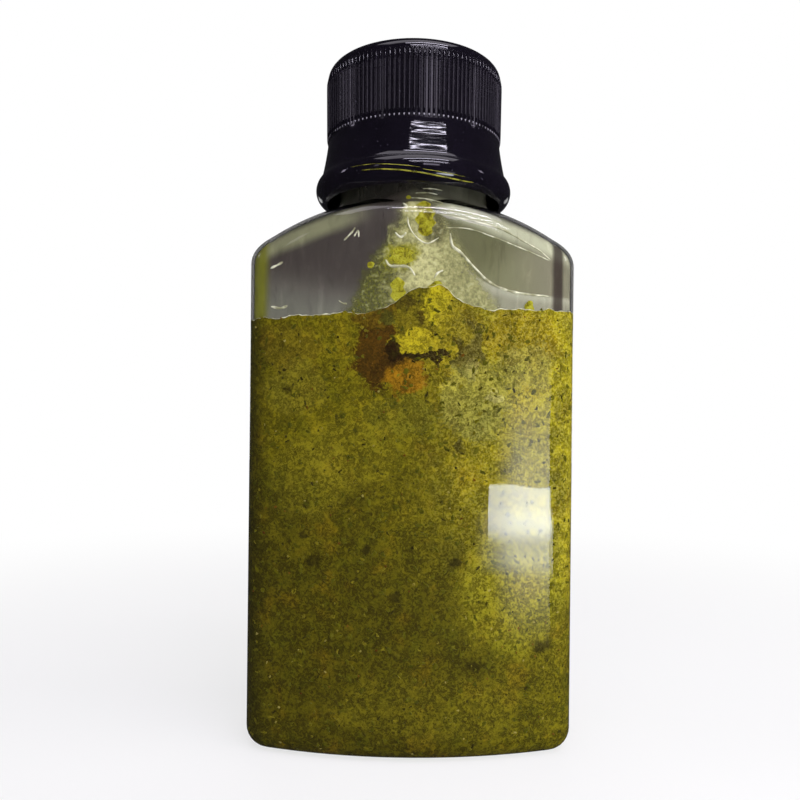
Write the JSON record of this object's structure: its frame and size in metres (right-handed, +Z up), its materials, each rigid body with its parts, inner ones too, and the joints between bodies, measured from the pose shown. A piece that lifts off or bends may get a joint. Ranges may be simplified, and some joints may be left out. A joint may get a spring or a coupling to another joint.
{
  "type": "sauce bottle",
  "caption": "flat clear bottle of green herb paste with bowed faces and sloping shoulders, closed by a black screw cap with a ribbed drum and a flared skirt",
  "frame": {"origin": "centre of the base, on the surface that the bottle stands on, under the neck's axis", "axes": "+Z up along the neck's axis, X across the broad faces, -Y out of the front face"},
  "size_m": [0.074, 0.0466, 0.1569],
  "materials": {
    "clear_bottle": "clear blown PET, glossy",
    "black_cap": "black polypropylene, glossy",
    "herb_paste": "wet herb paste in oil, olive green with darker and yellower pieces"
  },
  "bodies": {
    "root": {"bottle": "clear_bottle", "cap": "black_cap", "paste": "herb_paste"}
  },
  "joints": []
}
